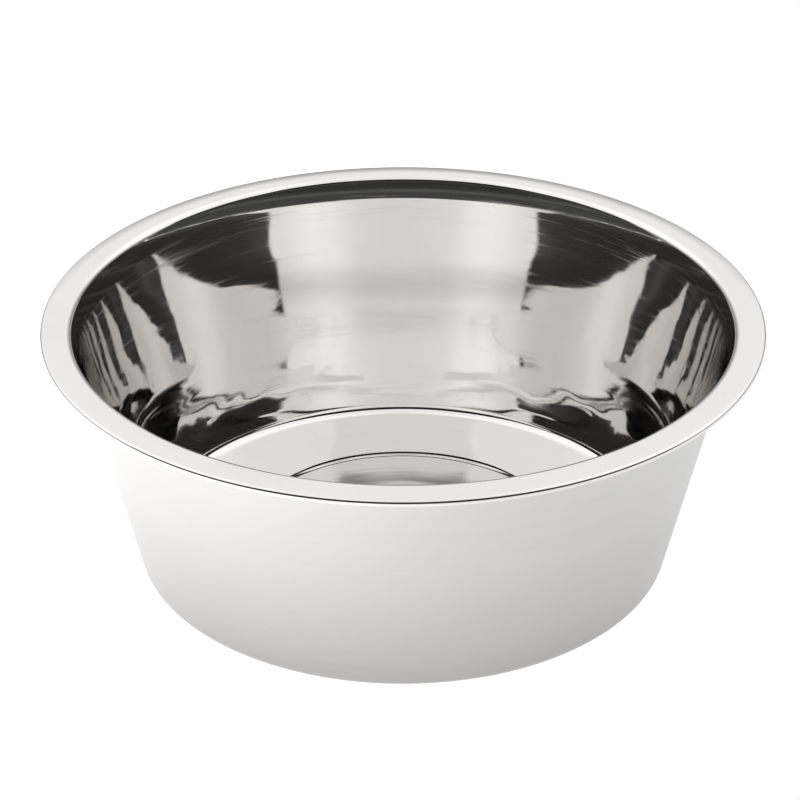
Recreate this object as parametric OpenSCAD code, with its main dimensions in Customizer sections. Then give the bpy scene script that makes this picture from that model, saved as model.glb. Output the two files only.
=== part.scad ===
// Feeding bowl pressed from one round blank of stainless sheet.
// Its section is a line drawn from the middle of the floor out to the rolled edge,
// given the thickness of the sheet and turned about the bowl's upright axis.
// The origin is the middle of the base, on the surface that the bowl stands on.

/* [Bowl] */
// Diameter over the rolled edge
rim_d = 250; // [220:1:320]
// Height from the standing surface to the top of the flange
bowl_h = 91.2; // [50:0.1:130]
// Thickness of the steel sheet
sheet_t = 0.7; // [0.5:0.05:1]

/* [Wall] */
// Lean of the wall from upright, in degrees
wall_lean = 13.2; // [6:0.1:16]
// Radius of the inside corner between the floor and the wall
corner_r = 3.6; // [2:0.1:12]
// Lean of the flared top of the wall, in degrees
flare_lean = 18.8; // [17:0.1:22]
// Depth of the middle of the flare's bend under the flange's upper face
flare_h = 5.6; // [5.3:0.1:12]
// Radius of the flare's bend, on the inner face
flare_r = 50; // [10:1:56]

/* [Rim] */
// Width of the flange, from the wall's inner face to the rolled edge
flange_w = 10.5; // [9:0.1:20]
// Radius of the bend that turns the wall out into the flange, on its upper face
flange_bend_r = 3.1; // [1.5:0.1:3.8]
// Width of the sloping outer part of the flange, up to the outside of the roll
crown_w = 4.4; // [4:0.1:5.5]
// Slope of that part, in degrees
flange_slope = 9; // [3:0.5:12]
// Radius of the soft bend inside that part, on the flange's upper face
crown_r = 35; // [10:1:38]
// Height of the rolled edge
roll_h = 2.6; // [2.2:0.1:4]
// Width of the strip that the roll turns back under the flange
return_w = 2.5; // [1:0.1:4]

/* [Floor] */
// Diameter of the raised panel in the middle of the floor, at the top of its step
panel_d = 113; // [60:1:120]
// Rise of the panel over the ring that the bowl stands on
panel_rise = 1.3; // [0.6:0.1:2.5]
// Steepness of the step round the panel, in degrees
panel_slope = 17; // [8:1:25]
// Radius of the bend at the top of the step, on its upper face
panel_bend_r = 3; // [1.1:0.1:6]
// Radius of the softer bend at the foot of the step, on its upper face
step_foot_r = 9; // [2:0.5:15]

/* [Hidden] */
$fn = 200;
// Overlap of a bend or roll with the straight stretches that it joins
lap = 0.002;
// Length by which a bend's slice runs on, over the length on which the overlap shows
run_on_share = 1.5;
// Size of a slice's wedge, over the least that holds its bend
wedge_share = 1.1;
// Run of the flange and the return strip into the roll
roll_run = 0.03;
flange_run = roll_run + sheet_t * sin(flange_slope);

rim_r = rim_d / 2;
mouth_r = rim_r - flange_w;
panel_r = panel_d / 2;
roll_r = roll_h / 2;
crown_x = rim_r - crown_w;
// Middle of the roll, and the place on it where the flange ends
roll_x = rim_r - roll_r;
edge_x = roll_x + roll_r * sin(flange_slope);
edge_z = bowl_h - (edge_x - crown_x) * tan(flange_slope);
roll_z = edge_z - roll_r * cos(flange_slope);
// Radius of the wall's inner face where its flare starts, and where it would reach the floor
flare_x = mouth_r - flare_h * tan(flare_lean);
floor_r = flare_x - (bowl_h - flare_h - sheet_t) * tan(wall_lean);
step_w = panel_rise / tan(panel_slope);

// Corners of the sheet's upper face, from the axis outwards
FACE = [
    [0, sheet_t + panel_rise],
    [panel_r, sheet_t + panel_rise],
    [panel_r + step_w, sheet_t],
    [floor_r, sheet_t],
    [flare_x, bowl_h - flare_h],
    [mouth_r, bowl_h],
    [crown_x, bowl_h],
    [edge_x + flange_run * cos(flange_slope), edge_z - flange_run * sin(flange_slope)],
];
// Radius of the upper face at each corner
FACE_R = [0, panel_bend_r, step_foot_r, corner_r, flare_r, flange_bend_r, crown_r, 0];

function unit(v) = v / norm(v);
// Directions in which a path comes to its corner i and leaves it
function in_dir(path, i) = unit(path[i] - path[i - 1]);
function out_dir(path, i) = unit(path[i + 1] - path[i]);
// 1 where the path turns left, up into the bowl, and -1 where it turns right
function side(path, i) = sign(cross(in_dir(path, i), out_dir(path, i)));
// Distance from a corner to the ends of a bend of radius r
function reach(path, i, r) =
    r * sqrt((1 - in_dir(path, i) * out_dir(path, i)) / (1 + in_dir(path, i) * out_dir(path, i)));
function bend_start(path, i, r) = path[i] - in_dir(path, i) * reach(path, i, r);
function bend_end(path, i, r) = path[i] + out_dir(path, i) * reach(path, i, r);
function bend_middle(path, i, r) =
    bend_start(path, i, r) + [-in_dir(path, i)[1], in_dir(path, i)[0]] * side(path, i) * r;
// Inner corners of a path
function bends(path) = [1:len(path) - 2];

// The lower face runs one thickness to the right of the upper one
function right_of(v) = [v[1], -v[0]];
function beside(path, i, t) =
    path[i] + (right_of(in_dir(path, i)) + right_of(out_dir(path, i)))
    * t / (1 + in_dir(path, i) * out_dir(path, i));
UNDER = concat(
    [FACE[0] - [0, sheet_t]],
    [for (i = bends(FACE)) beside(FACE, i, sheet_t)],
    [FACE[len(FACE) - 1] + right_of(in_dir(FACE, len(FACE) - 1)) * sheet_t]
);
UNDER_R = [for (i = [0:len(FACE) - 1]) i > 0 && i < len(FACE) - 1 ? FACE_R[i] + side(FACE, i) * sheet_t : 0];

// Slice of a circle that rounds corner i. It runs on past both ends of the bend.
module bend_slice(path, i, r) {
    middle = bend_middle(path, i, r);
    run_on = run_on_share * sqrt(2 * r * lap);
    ends = [
        bend_start(path, i, r) - in_dir(path, i) * run_on,
        path[i],
        bend_end(path, i, r) + out_dir(path, i) * run_on
    ];
    intersection() {
        translate(middle) circle(r = r + lap);
        polygon(concat([middle], [for (end = ends) middle + (end - middle) * wedge_share]));
    }
}

// Everything over a face, up to a level above the bowl
module space_over(path, radii) {
    last = len(path) - 1;
    difference() {
        union() {
            polygon(concat(
                [[0, bowl_h + roll_h], path[0]],
                [for (i = bends(path)) each [bend_start(path, i, radii[i]), bend_end(path, i, radii[i])]],
                [path[last], [path[last][0], bowl_h + roll_h]]
            ));
            for (i = bends(path)) if (side(path, i) > 0) bend_slice(path, i, radii[i]);
        }
        for (i = bends(path)) if (side(path, i) < 0) bend_slice(path, i, radii[i]);
    }
}

// Floor, wall and flange
module pressed_section() {
    difference() {
        space_over(UNDER, UNDER_R);
        space_over(FACE, FACE_R);
    }
}

// Outside of the half round that closes the edge, level with the flange
module roll_outside() {
    intersection() {
        translate([roll_x, roll_z]) circle(r = roll_r + lap);
        translate([roll_x, roll_z - roll_r]) square([roll_r, roll_h]);
    }
}

// Flat strip under the flange, where the sheet's edge ends
module return_strip() {
    translate([roll_x - return_w, roll_z - roll_r]) square([return_w + roll_run, sheet_t]);
}

module section() {
    difference() {
        union() {
            pressed_section();
            roll_outside();
            return_strip();
        }
        translate([roll_x, roll_z]) circle(r = roll_r - sheet_t + lap);
    }
}

module bowl() {
    color("silver") rotate_extrude() section();
}

bowl();
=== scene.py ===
import math

import bmesh
import bpy
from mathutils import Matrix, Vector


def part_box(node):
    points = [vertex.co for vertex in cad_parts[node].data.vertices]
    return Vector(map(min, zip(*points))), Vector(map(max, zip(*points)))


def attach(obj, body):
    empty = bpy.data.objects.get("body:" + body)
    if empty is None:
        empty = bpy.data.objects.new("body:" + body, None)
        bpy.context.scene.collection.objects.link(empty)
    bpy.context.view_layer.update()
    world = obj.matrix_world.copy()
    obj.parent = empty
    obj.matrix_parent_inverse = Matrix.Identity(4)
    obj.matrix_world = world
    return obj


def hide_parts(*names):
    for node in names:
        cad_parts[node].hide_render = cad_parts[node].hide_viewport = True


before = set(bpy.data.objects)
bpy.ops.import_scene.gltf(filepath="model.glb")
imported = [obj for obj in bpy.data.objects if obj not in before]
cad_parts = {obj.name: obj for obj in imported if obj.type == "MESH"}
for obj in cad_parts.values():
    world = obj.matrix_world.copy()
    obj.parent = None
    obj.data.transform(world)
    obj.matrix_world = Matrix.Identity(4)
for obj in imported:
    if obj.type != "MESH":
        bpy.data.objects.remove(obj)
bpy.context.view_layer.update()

# Bowl: one round blank of stainless sheet. A press draws it to a cup, turns the mouth out into a
# flange, raises a round panel in the floor and rolls the edge under. It is then polished on a
# spindle, so every fine line left in the metal runs round the axis.
RIM_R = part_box("bowl")[1].x
BOWL_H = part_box("bowl")[1].z
SHEET_T = 0.0007
WALL_LEAN = math.radians(13.2)
FLARE_LEAN = math.radians(18.8)
FLARE_DEPTH = 0.0056
FLARE_R = 0.05
FLANGE_W = 0.0105
FLANGE_SLOPE = math.radians(9)
CROWN_W = 0.0044
CROWN_R = 0.035
FLANGE_BEND_R = 0.0031
CORNER_R = 0.0036
ROLL_R = 0.0013
RETURN_W = 0.0025
PANEL_R = 0.0565
PANEL_RISE = 0.0013
PANEL_SLOPE = math.radians(17)
PANEL_BEND_R = 0.003
STEP_FOOT_R = 0.009
PANEL_CROWN = 0.0003
TURN_STEPS = 384
ARC_STEP = math.radians(4)
# Distances from a bend at which a straight stretch gets a point, so that it shades flat, and the
# share of the stretch within which they have to lie
STRETCH_POINTS = (0.0003, 0.0012, 0.005)
STRETCH_SHARE = 0.45
# Distance under which two points of the turned skin become one
WELD = 1e-6
# Angle over which an edge of the skin stays sharp
SHARP_ANGLE = math.radians(30)

mouth_r = RIM_R - FLANGE_W
flare_x = mouth_r - FLARE_DEPTH * math.tan(FLARE_LEAN)
floor_r = flare_x - (BOWL_H - FLARE_DEPTH - SHEET_T) * math.tan(WALL_LEAN)
roll_x = RIM_R - ROLL_R
edge_x = roll_x + ROLL_R * math.sin(FLANGE_SLOPE)
edge_z = BOWL_H - (edge_x - RIM_R + CROWN_W) * math.tan(FLANGE_SLOPE)
roll_z = edge_z - ROLL_R * math.cos(FLANGE_SLOPE)


def arc(x, z, radius, start, end):
    """Points of an arc and the directions that they face, away from its middle."""
    count = max(2, math.ceil(abs(end - start) / ARC_STEP))
    angles = [start + (end - start) * i / count for i in range(count + 1)]
    faces = [(math.cos(a), math.sin(a)) for a in angles]
    return [(x + radius * c, z + radius * s) for c, s in faces], faces


def stretch(start, end):
    """Points inside a straight stretch: close together near its ends, and none across it."""
    length = math.dist(start, end)
    near = [d for d in STRETCH_POINTS if d < length * STRETCH_SHARE]
    shares = [d / length for d in near] + [1 - d / length for d in reversed(near)]
    return [tuple(a + (b - a) * s for a, b in zip(start, end)) for s in shares]


def face_line(corners):
    """The sheet's upper face in section, as points and the directions that they face.

    Each corner is (x, z, bend radius), from the axis outwards."""
    points, faces = [], []
    last = corners[0][:2]
    for before, here, after in zip(corners, corners[1:], corners[2:]):
        way_in = math.atan2(here[1] - before[1], here[0] - before[0])
        way_out = math.atan2(after[1] - here[1], after[0] - here[0])
        turn = way_out - way_in
        side = math.copysign(1, turn)
        reach = here[2] * math.tan(abs(turn) / 2)
        start = (here[0] - reach * math.cos(way_in), here[1] - reach * math.sin(way_in))
        up = way_in + math.pi / 2
        middle = [start[k] + side * here[2] * (math.cos(up), math.sin(up))[k] for k in (0, 1)]
        flip = math.pi if side > 0 else 0
        bend, outward = arc(*middle, here[2], up + flip, up + turn + flip)
        flat = [last] + stretch(last, start)
        points += flat + bend
        faces += [(math.cos(up), math.sin(up))] * len(flat)
        faces += [(-side * c, -side * s) for c, s in outward]
        last = bend[-1]
    up = way_out + math.pi / 2
    flat = stretch(last, corners[-1][:2])
    return points + flat, faces + [(math.cos(up), math.sin(up))] * len(flat)


panel_z = SHEET_T + PANEL_RISE
upper, facing = face_line([
    (0, panel_z + PANEL_CROWN, 0),
    (PANEL_R, panel_z, PANEL_BEND_R),
    (PANEL_R + PANEL_RISE / math.tan(PANEL_SLOPE), SHEET_T, STEP_FOOT_R),
    (floor_r, SHEET_T, CORNER_R),
    (flare_x, BOWL_H - FLARE_DEPTH, FLARE_R),
    (mouth_r, BOWL_H, FLANGE_BEND_R),
    (RIM_R - CROWN_W, BOWL_H, CROWN_R),
    (edge_x, edge_z, 0),
])
lower = [(x - SHEET_T * c, z - SHEET_T * s) for (x, z), (c, s) in zip(upper, facing)]
lower[0] = (0, lower[0][1])
roll_top = math.pi / 2 - FLANGE_SLOPE
roll_out, _ = arc(roll_x, roll_z, ROLL_R, roll_top, -math.pi / 2)
roll_in, _ = arc(roll_x, roll_z, ROLL_R - SHEET_T, -math.pi / 2, roll_top)
strip_x = roll_x - RETURN_W
strip = [(strip_x, roll_z - ROLL_R), (strip_x, roll_z - ROLL_R + SHEET_T)]
outline = upper + roll_out + strip + roll_in + lower[::-1]

section = bpy.data.meshes.new("bowl_section")
# A profile's second axis points down on a circle that is drawn anticlockwise
section.from_pydata(
    [(x - RIM_R, -z, 0) for x, z in outline], [(i, i + 1) for i in range(len(outline) - 1)], []
)
# Distance along the sheet from its middle, and 1 on the face that the polisher doesn't reach
walked = [0]
for before, here in zip(upper, upper[1:]):
    walked.append(walked[-1] + math.dist(before, here))
polished = len(upper) + len(roll_out)
along = walked + [walked[-1]] * (len(outline) - 2 * len(upper)) + walked[::-1]
for name, values in (
    ("along", along), ("outside", [0] * polished + [1] * (len(outline) - polished)),
):
    section.attributes.new(name, "FLOAT", "POINT").data.foreach_set("value", values)
turned = bpy.data.node_groups.new("turned_bowl", "GeometryNodeTree")
for name, way, kind in (
    ("Section", "INPUT", "NodeSocketGeometry"),
    ("Turning radius", "INPUT", "NodeSocketFloat"),
    ("Steps round", "INPUT", "NodeSocketInt"),
    ("Steel", "INPUT", "NodeSocketMaterial"),
    ("Bowl", "OUTPUT", "NodeSocketGeometry"),
):
    turned.interface.new_socket(name, in_out=way, socket_type=kind)


def grow(tree, kind, inputs, settings=None):
    """Adds a node to a Geometry Nodes tree and links or sets its inputs by name."""
    made = tree.nodes.new(kind)
    for name, value in (settings or {}).items():
        setattr(made, name, value)
    for name, value in inputs.items():
        if isinstance(value, bpy.types.NodeSocket):
            tree.links.new(value, made.inputs[name])
        else:
            made.inputs[name].default_value = value
    return made.outputs[0] if made.outputs else None


given = turned.nodes.new("NodeGroupInput").outputs
line = grow(turned, "GeometryNodeMeshToCurve", {"Mesh": given["Section"]})
path = grow(turned, "GeometryNodeCurvePrimitiveCircle", {
    "Resolution": given["Steps round"], "Radius": given["Turning radius"],
})
skin = grow(turned, "GeometryNodeCurveToMesh", {"Curve": path, "Profile Curve": line})
skin = grow(turned, "GeometryNodeMergeByDistance", {"Geometry": skin, "Distance": WELD})
skin = grow(turned, "GeometryNodeSetShadeSmooth", {"Geometry": skin})
skin = grow(turned, "GeometryNodeRealizeInstances", {"Geometry": skin})
skin = grow(turned, "GeometryNodeSetMaterial", {"Geometry": skin, "Material": given["Steel"]})
grow(turned, "NodeGroupOutput", {"Bowl": skin})


class Signal:
    """A socket in a shader. Sums, products and the like add Math nodes to its tree."""

    def __init__(self, tree, socket=None):
        self.tree = tree
        self.socket = socket

    def node(self, kind, settings=None, inputs=None, output=0):
        """Adds a node: first its settings, then the values or signals of its sockets.

        The setting stops holds the (position, level) pairs of a colour ramp."""
        made = self.tree.nodes.new(kind)
        for name, value in (settings or {}).items():
            if name == "stops":
                ramp = made.color_ramp.elements
                for position, level in value[1:]:
                    ramp.new(position).color = (level, level, level, 1)
                ramp[0].position = value[0][0]
                ramp[0].color = (value[0][1],) * 3 + (1,)
                ramp.remove(ramp[-1])
            else:
                setattr(made, name, value)
        for name, value in (inputs or {}).items():
            if isinstance(value, Signal):
                self.tree.links.new(value.socket, made.inputs[name])
            else:
                made.inputs[name].default_value = value
        return Signal(self.tree, made.outputs[output])

    def maths(self, operation, *others):
        values = dict(enumerate((self,) + others))
        return self.node("ShaderNodeMath", {"operation": operation}, values)

    def __add__(self, other):
        return self.maths("ADD", other)

    def __sub__(self, other):
        return self.maths("SUBTRACT", other)

    def __rsub__(self, other):
        return self * -1 + other

    def __mul__(self, other):
        return self.maths("MULTIPLY", other)

    def __truediv__(self, other):
        return self.maths("DIVIDE", other)

    __radd__ = __add__
    __rmul__ = __mul__


POLISHED = (0.8, 0.789, 0.775, 1)
STAINED = (0.74, 0.725, 0.715, 1)
PANEL_TONE = (0.71, 0.695, 0.684, 1)
SATIN_TOP = (0.66, 0.653, 0.65, 1)
# Painted shade: the outside's tone at the foot, darkened for the shadowed table that it mirrors
SATIN_FOOT_SHADE = (0.4, 0.39, 0.385, 1)
# Share of the top's tone on the outside by height, which falls towards the foot as painted shade,
# the mirrored shadow of the table round the foot, and the height that the end of the ramp stands
# for
SATIN_SHADE_HEIGHTS = [(0.003, 0), (0.018, 0.28), (0.05, 0.71), (0.088, 1)]
RAMP_HEIGHT = 0.1
# Distances along the sheet between which the panel's duller tone ends
PANEL_TONE_ENDS = (0.0555, 0.0575)

MIRROR_ROUGH = 0.035
SATIN_ROUGH = 0.34
HAZE_ROUGH = 0.09
MARK_ROUGH = 0.25
# Roughness taken off at the left and right, where the picture in the metal is mirrored many times
SIDE_GLOSS = 0.025

# Depths of the relief, in metres
LINE_DEPTH = 0.0000012
RIPPLE_DEPTH = 0.00003
DENT_DEPTH = 0.0001
SWELL_DEPTH = 0.00094
CHATTER_DEPTH = 0.000014
FOOT_DEPTH = 0.0003
# Length that the bump node takes as one unit of height
BUMP_UNIT = 0.001

# Heights over the table between which something starts or ends
SWELL_HEIGHTS = (0.025, 0.06)
FOOT_STARTS = (0.003, 0.008)
FOOT_ENDS = (0.012, 0.026)
RINGS_START = (0.064, 0.084)
CLEAR_ENDS = (0.068, 0.08)
CHATTER_START = 0.037
CHATTER_PITCH = 0.0215
# Distances to the left or right, over the distance from the axis
SIDES = (0.5, 0.75)
FOOT_SIDES = (0.35, 0.6)
GLOSSY_SIDES = (0.7, 0.9)

# Levels of a noise between which a mark starts
STAIN_LEVELS = (0.4, 0.8)
SPECKLED_LEVELS = (0.5, 0.62)
HAZE_LEVELS = (0.48, 0.75)
RING_LEVELS = (0.62, 0.74)
HAIR_LEVELS = (0.55, 0.6)
HAIR_WIDTH = 0.004
SPECK_WIDTHS = (0.08, 0.18)
# Strengths of the marks, from 0 to 1
STAIN_SHARE = 0.5
HAIR_SHARE = 0.15
RING_SHARE = 0.6
SPECK_SHARE = 0.7
# Shares of the haze and the ripple that are missing at the sides
CLEAR_SHARE = 0.75
CALM_SHARE = 0.65

steel = bpy.data.materials.new("polished_steel")
steel.use_nodes = True
shader = steel.node_tree.nodes["Principled BSDF"]
shader.inputs["Metallic"].default_value = 1

metal = Signal(steel.node_tree)
place = metal.node("ShaderNodeTexCoord", output="Object")
over_table = metal.node("ShaderNodeSeparateXYZ", inputs={0: place}, output="Z")
outward = metal.node("ShaderNodeVectorMath", {"operation": "MULTIPLY"}, {0: place, 1: (1, 1, 0)})
outward = metal.node("ShaderNodeVectorMath", {"operation": "NORMALIZE"}, {0: outward})
along_sheet = metal.node("ShaderNodeAttribute", {"attribute_name": "along"}, output="Fac")
outside = metal.node("ShaderNodeAttribute", {"attribute_name": "outside"}, output="Fac")


def part_of(vector, name):
    return metal.node("ShaderNodeSeparateXYZ", inputs={0: vector}, output=name)


def turned_noise(round_scale, along_scale, detail, shift=0):
    """Noise drawn out round the axis: the scales are per radian and per metre of sheet."""
    at = metal.node("ShaderNodeCombineXYZ", inputs={
        0: part_of(outward, "X") * round_scale, 1: part_of(outward, "Y") * round_scale,
        2: along_sheet * along_scale + shift,
    })
    return metal.node("ShaderNodeTexNoise", inputs={"Vector": at, "Scale": 1, "Detail": detail})


def noise(scale, detail):
    """Noise of the same size in all directions: the scale is per metre."""
    return metal.node("ShaderNodeTexNoise", inputs={
        "Vector": place, "Scale": scale, "Detail": detail,
    })


def between(value, low, high):
    """0 below the low value and 1 above the high one."""
    return metal.node("ShaderNodeMapRange", {"interpolation_type": "SMOOTHSTEP"}, {
        "Value": value, "From Min": low, "From Max": high,
    })


def blend(share, first, second):
    return metal.node(
        "ShaderNodeMix", {"data_type": "RGBA"}, {"Factor": share, "A": first, "B": second},
        output="Result",
    )


inside = 1 - outside
side_on = part_of(outward, "X").maths("ABSOLUTE")
at_sides = between(side_on, *SIDES)
stains = noise(scale=26, detail=3)

# Colour: stains, the duller disc of the panel, and the satin outside, with painted shade that
# darkens it towards the foot
ramp = [(height / RAMP_HEIGHT, share) for height, share in SATIN_SHADE_HEIGHTS]
# Painted shade: the outside goes from its top tone to the darker foot tone by height
satin_unshaded_share = metal.node("ShaderNodeValToRGB", {"stops": ramp}, {0: over_table / RAMP_HEIGHT})
satin_and_painted_shade = blend(satin_unshaded_share, SATIN_FOOT_SHADE, SATIN_TOP)
bright = blend(between(stains, *STAIN_LEVELS) * STAIN_SHARE, POLISHED, STAINED)
on_panel = 1 - between(along_sheet, *PANEL_TONE_ENDS)
bright = blend(on_panel, bright, PANEL_TONE)
steel.node_tree.links.new(blend(outside, bright, satin_and_painted_shade).socket, shader.inputs["Base Color"])

# Roughness: haze in streaks, hair scratches, rings near the rim, and specks
clear = at_sides * (1 - between(over_table, *CLEAR_ENDS))
haze = between(turned_noise(round_scale=2.5, along_scale=700, detail=4, shift=3), *HAZE_LEVELS)
haze = haze * (1 - clear * CLEAR_SHARE)
hair = 1 - between((noise(scale=38, detail=0) - 0.5).maths("ABSOLUTE"), 0, HAIR_WIDTH)
hair = hair * between(noise(scale=75, detail=2), *HAIR_LEVELS)
rings = between(turned_noise(round_scale=4, along_scale=2600, detail=1, shift=5), *RING_LEVELS)
rings = rings * between(over_table, *RINGS_START)
specks = metal.node("ShaderNodeTexVoronoi", inputs={"Vector": place, "Scale": 520})
specks = (1 - between(specks, *SPECK_WIDTHS)) * between(stains, *SPECKLED_LEVELS)
marks = hair * HAIR_SHARE + rings * RING_SHARE + specks * SPECK_SHARE
rough = MIRROR_ROUGH + haze * HAZE_ROUGH + marks * MARK_ROUGH
rough = rough - between(side_on, *GLOSSY_SIDES) * inside * SIDE_GLOSS
rough = rough + outside * (SATIN_ROUGH - MIRROR_ROUGH)
steel.node_tree.links.new(rough.socket, shader.inputs["Roughness"])

# Relief: polishing lines, ripple and dents all over, and on the inside the wall's soft swell, the
# press's chatter and the uneven foot of the wall
lines = turned_noise(round_scale=1.2, along_scale=2200, detail=3)
ripple = turned_noise(round_scale=1.4, along_scale=150, detail=1, shift=7)
ripple = ripple * (1 - at_sides * CALM_SHARE)
dents = noise(scale=34, detail=1)
swell = between(over_table, *SWELL_HEIGHTS)
chatter = ((over_table - CHATTER_START) * (2 * math.pi / CHATTER_PITCH)).maths("SINE")
foot = between(over_table, *FOOT_STARTS) * (1 - between(over_table, *FOOT_ENDS))
foot = foot * between(side_on, *FOOT_SIDES)
foot = foot * turned_noise(round_scale=5, along_scale=70, detail=1, shift=11)
relief = lines * LINE_DEPTH + ripple * RIPPLE_DEPTH + dents * DENT_DEPTH
relief = relief + (swell * SWELL_DEPTH + chatter * CHATTER_DEPTH + foot * FOOT_DEPTH) * inside
bumped = metal.node("ShaderNodeBump", inputs={
    "Height": relief * (1 / BUMP_UNIT), "Distance": BUMP_UNIT, "Strength": 1,
})
steel.node_tree.links.new(bumped.socket, shader.inputs["Normal"])

blank = bpy.data.objects.new("bowl_section", section)
bpy.context.collection.objects.link(blank)
turning = blank.modifiers.new("turning", "NODES")
turning.node_group = turned
sockets = {s.name: s.identifier for s in turned.interface.items_tree}
turning[sockets["Turning radius"]] = RIM_R
turning[sockets["Steps round"]] = TURN_STEPS
turning[sockets["Steel"]] = steel
graph = bpy.context.evaluated_depsgraph_get()
bowl_mesh = bpy.data.meshes.new_from_object(blank.evaluated_get(graph))
bowl_mesh.name = "bowl_skin"
blank.modifiers.remove(turning)
bpy.data.objects.remove(blank)

shape = bmesh.new()
shape.from_mesh(bowl_mesh)
bmesh.ops.recalc_face_normals(shape, faces=shape.faces)
for edge in shape.edges:
    edge.smooth = edge.calc_face_angle(0) < SHARP_ANGLE
shape.to_mesh(bowl_mesh)
shape.free()

bowl = bpy.data.objects.new("pressed_bowl", bowl_mesh)
bpy.context.collection.objects.link(bowl)
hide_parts("bowl")
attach(bowl, "root")

# Table: the white sheet that the bowl stands on. Its brightness is painted light: it glows,
# brighter on the left where it burns out, and takes no light itself. It isn't part of the bowl.
TABLE_SIZE = 6
TABLE_DROP = 0.0001
PAINTED_GLOW_LEFT = 1.58
PAINTED_GLOW_RIGHT = 1.0
# Distances from the axis, to the right, between which the painted glow falls off
PAINTED_GLOW_ACROSS = (-0.22, 0.15)

table_mesh = bpy.data.meshes.new("table")
half = TABLE_SIZE / 2
table_mesh.from_pydata(
    [(x, y, -TABLE_DROP) for x, y in ((-half, -half), (half, -half), (half, half), (-half, half))],
    [], [(0, 1, 2, 3)],
)
paper = bpy.data.materials.new("white_paper")
paper.use_nodes = True
sheet = Signal(paper.node_tree)
across = sheet.node("ShaderNodeTexCoord", output="Object")
across = sheet.node("ShaderNodeSeparateXYZ", inputs={0: across}, output="X")
# Painted light: the table's glow, brighter on the left and falling off to the right
painted_glow = sheet.node("ShaderNodeMapRange", {"interpolation_type": "SMOOTHSTEP"}, {
    "Value": across, "From Min": PAINTED_GLOW_ACROSS[0], "From Max": PAINTED_GLOW_ACROSS[1],
    "To Min": PAINTED_GLOW_LEFT, "To Max": PAINTED_GLOW_RIGHT,
})
paper_shader = paper.node_tree.nodes["Principled BSDF"]
paper_shader.inputs["Base Color"].default_value = (0, 0, 0, 1)
paper_shader.inputs["Specular IOR Level"].default_value = 0
paper_shader.inputs["Emission Strength"].default_value = 1
paper.node_tree.links.new(painted_glow.socket, paper_shader.inputs["Emission Color"])
table_mesh.materials.append(paper)
table = bpy.data.objects.new("table", table_mesh)
bpy.context.collection.objects.link(table)

# Light: a white tent round the bowl, open towards the camera. The dark room shows through the
# opening, and in the polished metal. Each stop is a height over the horizon, in degrees, and a
# brightness, or the cosine of the angle from straight behind at which the opening starts.
TENT = [
    (0, 0.06), (3, 0.18), (6, 0.36), (10, 0.48), (14, 0.6), (18, 0.82), (23, 1.02), (60, 1.05),
    (90, 1.05),
]
ROOM = [
    (0, 0.08), (4, 0.06), (6.5, 0.06), (8, 0.11), (9.5, 0.05), (11, 0.035), (14, 0.035), (18, 0.04),
    (21.5, 0.05), (24, 0.1), (27, 0.06), (30, 0.035), (39, 0.015), (43, 0.003), (47, 0.01),
    (50, 0.04), (51.5, 0.5), (52.5, 1.02), (90, 1.05),
]
OPENING = [
    (0, 0.12), (8, 0.05), (14, -0.03), (20, -0.03), (23, -0.08), (27, -0.17), (31, -0.28),
    (36, -0.42), (40, -0.58), (46, -0.66), (51.5, -0.85), (90, -0.85),
]
OPENING_SOFTNESS = 0.03
# Brightness of the tent by the cosine of the angle from straight behind
LAMPS = [(0, 1.1), (0.14, 1.15), (0.45, 1.3), (0.65, 1.25), (0.85, 1.06), (1, 0.97)]

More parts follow.
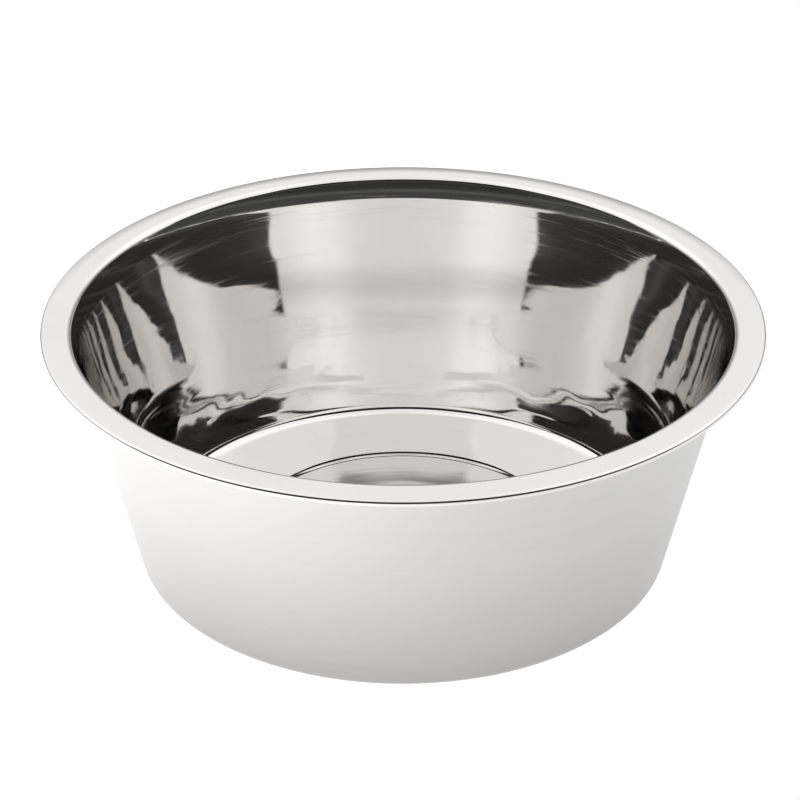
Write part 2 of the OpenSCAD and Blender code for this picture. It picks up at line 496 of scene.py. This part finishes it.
world = bpy.data.worlds.new("studio")
world.use_nodes = True
bpy.context.scene.world = world
sky = Signal(world.node_tree)
way = sky.node("ShaderNodeTexCoord", output="Generated")
up = sky.node("ShaderNodeSeparateXYZ", inputs={0: way}, output="Z")
height = up.maths("ARCSINE") / (math.pi / 2)
level_way = sky.node("ShaderNodeVectorMath", {"operation": "MULTIPLY"}, {0: way, 1: (1, 1, 0)})
level_way = sky.node("ShaderNodeVectorMath", {"operation": "NORMALIZE"}, {0: level_way})
behind = sky.node("ShaderNodeSeparateXYZ", inputs={0: level_way}, output="Y")


def by_height(stops, shift=0):
    """A value that follows the height over the horizon."""
    stops = [(h / 90, level + shift) for h, level in stops]
    return sky.node("ShaderNodeValToRGB", {"stops": stops}, {0: height})


# A ramp holds no value under 0, so the cosines go through it raised by 1
opening = by_height(OPENING, 1) - 1
tent_share = sky.node("ShaderNodeMapRange", {"interpolation_type": "SMOOTHSTEP"}, {
    "Value": behind - opening, "From Min": -OPENING_SOFTNESS, "From Max": OPENING_SOFTNESS,
})
lamps = sky.node("ShaderNodeValToRGB", {"stops": LAMPS}, {0: behind})
light = sky.node(
    "ShaderNodeMix", {"data_type": "RGBA"},
    {"Factor": tent_share, "A": by_height(ROOM), "B": by_height(TENT) * lamps}, output="Result",
)
world.node_tree.links.new(light.socket, world.node_tree.nodes["Background"].inputs["Color"])

# Camera: in front of the bowl and above it, as in the photograph. The pixels are in its frame of
# 800 by 800.
FRAME_PX = 800
AXIS_PX = 403
LEVEL_PX = 313.9
LENS_PX = 2894.8
VIEW_DISTANCE = 8 * RIM_R
VIEW_ANGLE = math.radians(27.25)
SENSOR_MM = 36

camera_data = bpy.data.cameras.new("camera")
camera_data.sensor_width = SENSOR_MM
camera_data.lens = LENS_PX * SENSOR_MM / FRAME_PX
camera_data.shift_x = (FRAME_PX / 2 - AXIS_PX) / FRAME_PX
camera_data.shift_y = (LEVEL_PX - FRAME_PX / 2) / FRAME_PX
camera_data.clip_start = 0.01
camera = bpy.data.objects.new("camera", camera_data)
bpy.context.collection.objects.link(camera)
camera.location = (
    0,
    -VIEW_DISTANCE * math.cos(VIEW_ANGLE),
    BOWL_H + VIEW_DISTANCE * math.sin(VIEW_ANGLE),
)
camera.rotation_euler = (math.pi / 2 - VIEW_ANGLE, 0, 0)
bpy.context.scene.camera = camera

scene = bpy.context.scene
scene.view_settings.view_transform = "Standard"
# Light mirrored up and down inside the bowl needs many bounces
scene.cycles.max_bounces = 24
scene.cycles.glossy_bounces = 24
